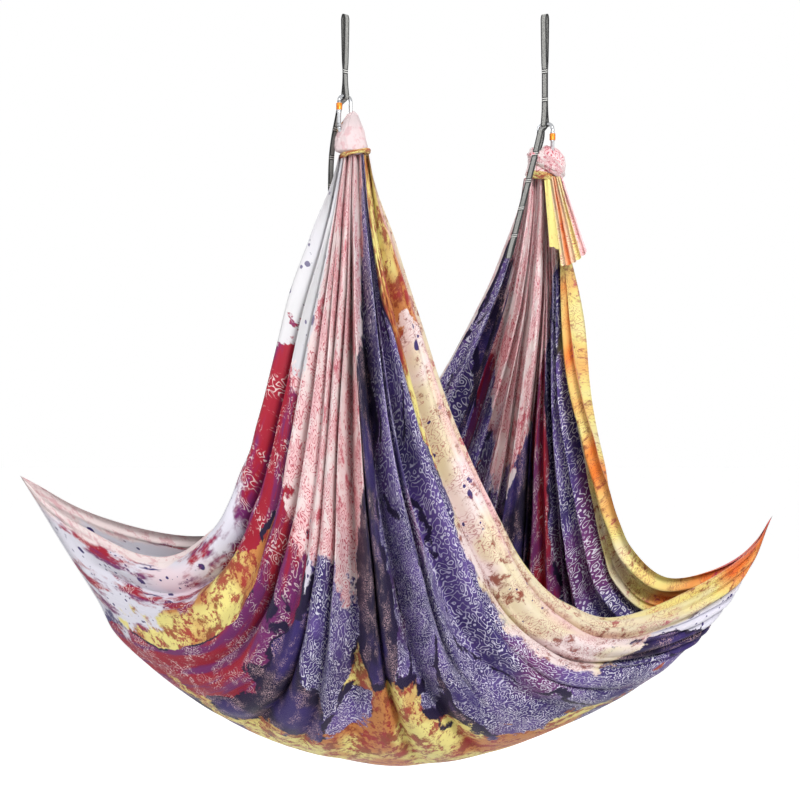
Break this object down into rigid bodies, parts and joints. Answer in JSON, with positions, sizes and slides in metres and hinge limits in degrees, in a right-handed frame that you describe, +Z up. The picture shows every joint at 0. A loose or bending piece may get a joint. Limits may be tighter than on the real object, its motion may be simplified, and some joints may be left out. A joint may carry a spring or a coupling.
{
  "type": "aerial hammock",
  "caption": "Wide cloth sling knotted on two screw-gate carabiners that hang from two pocketed webbing straps.",
  "frame": {"origin": "midway between the two strap tops, on the line of the two ceiling hooks that hold the part up", "axes": "+X from the left strap to the right one, +Y away from the viewer, across the seat, +Z up"},
  "size_m": [2.0905, 0.6348, 2.0756],
  "materials": {
    "webbing": "woven grey webbing with black edges",
    "polished_alloy": "polished",
    "gate_alloy": "satin",
    "pin_steel": "satin",
    "spring_steel": "drawn wire",
    "orange_sleeve": "orange anodised, fluted",
    "printed_cloth": "smooth knitted cloth with a paint-wash print"
  },
  "bodies": {
    "root": {"left_top_loop": "webbing", "right_top_loop": "webbing", "left_strap": "webbing", "right_strap": "webbing", "left_carabiner_frame": "polished_alloy", "right_carabiner_frame": "polished_alloy", "left_gate_rivet": "pin_steel", "right_gate_rivet": "pin_steel", "left_knot": "printed_cloth", "right_knot": "printed_cloth", "right_cloth_tail": "printed_cloth", "sling_cloth": "printed_cloth"},
    "left_gate": {"left_gate": "gate_alloy", "left_catch_pin": "pin_steel", "left_spring_plunger": "pin_steel", "left_gate_spring": "spring_steel"},
    "left_sleeve": {"left_lock_sleeve": "orange_sleeve"},
    "right_gate": {"right_gate": "gate_alloy", "right_catch_pin": "pin_steel", "right_spring_plunger": "pin_steel", "right_gate_spring": "spring_steel"},
    "right_sleeve": {"right_lock_sleeve": "orange_sleeve"}
  },
  "joints": [
    {"name": "left_gate_swing", "type": "hinge", "parent": "root", "child": "left_gate", "pos_m": [-0.29301, -0.01908, -0.30939], "axis": [-0.766, 0.6428, 0], "range_deg": [0, 20], "stiffness_Nm_per_rad": 0.02, "springref_deg": -22.92},
    {"name": "left_sleeve_travel", "type": "slide", "parent": "left_gate", "child": "left_sleeve", "axis": [0, 0, 1], "range_m": [0, 0.0075]},
    {"name": "right_gate_swing", "type": "hinge", "parent": "root", "child": "right_gate", "pos_m": [0.29644, -0.01631, -0.38739], "axis": [-0.6428, -0.766, 0], "range_deg": [0, 20], "stiffness_Nm_per_rad": 0.02, "springref_deg": -22.92},
    {"name": "right_sleeve_travel", "type": "slide", "parent": "right_gate", "child": "right_sleeve", "axis": [0, 0, 1], "range_m": [0, 0.0135]}
  ]
}
